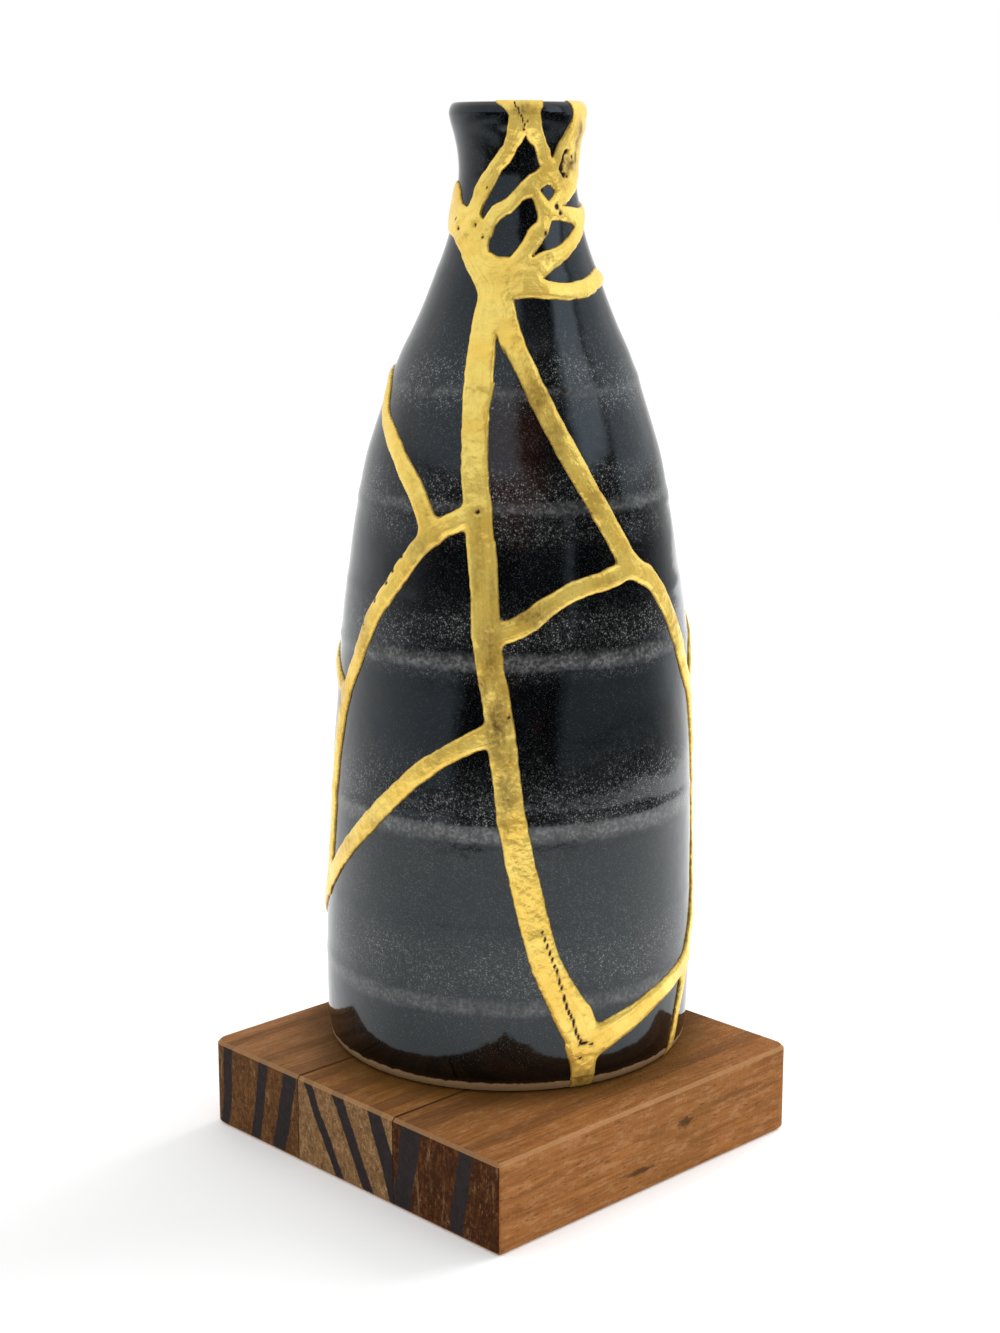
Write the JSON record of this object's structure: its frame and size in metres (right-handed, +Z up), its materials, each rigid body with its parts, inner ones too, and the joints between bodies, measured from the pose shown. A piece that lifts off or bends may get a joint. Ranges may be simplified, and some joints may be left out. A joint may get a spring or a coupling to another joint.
{
  "type": "kintsugi vase",
  "caption": "Dark glazed stoneware bottle vase, broken and mended with raised gold seams, standing on a small square block of laminated wood.",
  "frame": {"origin": "middle of the whole footprint on the block's underside, where the vase reaches a few millimetres past the block", "axes": "+Z up; the block's grain runs along X and its end grain faces -X; the vase's front faces between -X and -Y"},
  "size_m": [0.1048, 0.1039, 0.2482],
  "materials": {
    "glazed_stoneware": "glossy charcoal glaze with fine pale speckles, bare tan clay at the foot",
    "gold_lacquer": "gold powder over lacquer, satin, slightly worn",
    "block_wood": "oiled, matt, dark strips in the end grain"
  },
  "bodies": {
    "root": {"plinth_stave_front": "block_wood", "plinth_stave_middle": "block_wood", "plinth_stave_back": "block_wood", "sherd_neck_left": "glazed_stoneware", "sherd_neck_front": "glazed_stoneware", "sherd_rim_wedge": "glazed_stoneware", "sherd_neck_right": "glazed_stoneware", "sherd_neck_lozenge": "glazed_stoneware", "sherd_neck_centre": "glazed_stoneware", "sherd_neck_lens": "glazed_stoneware", "sherd_collar_right": "glazed_stoneware", "sherd_shoulder_left": "glazed_stoneware", "sherd_shoulder_right": "glazed_stoneware", "sherd_belly_centre": "glazed_stoneware", "sherd_belly_right": "glazed_stoneware", "sherd_belly_left": "glazed_stoneware", "sherd_flank_left": "glazed_stoneware", "sherd_lower_left": "glazed_stoneware", "sherd_foot_right": "glazed_stoneware", "sherd_back_left": "glazed_stoneware", "sherd_back_right": "glazed_stoneware", "gold_seams": "gold_lacquer"}
  },
  "joints": []
}
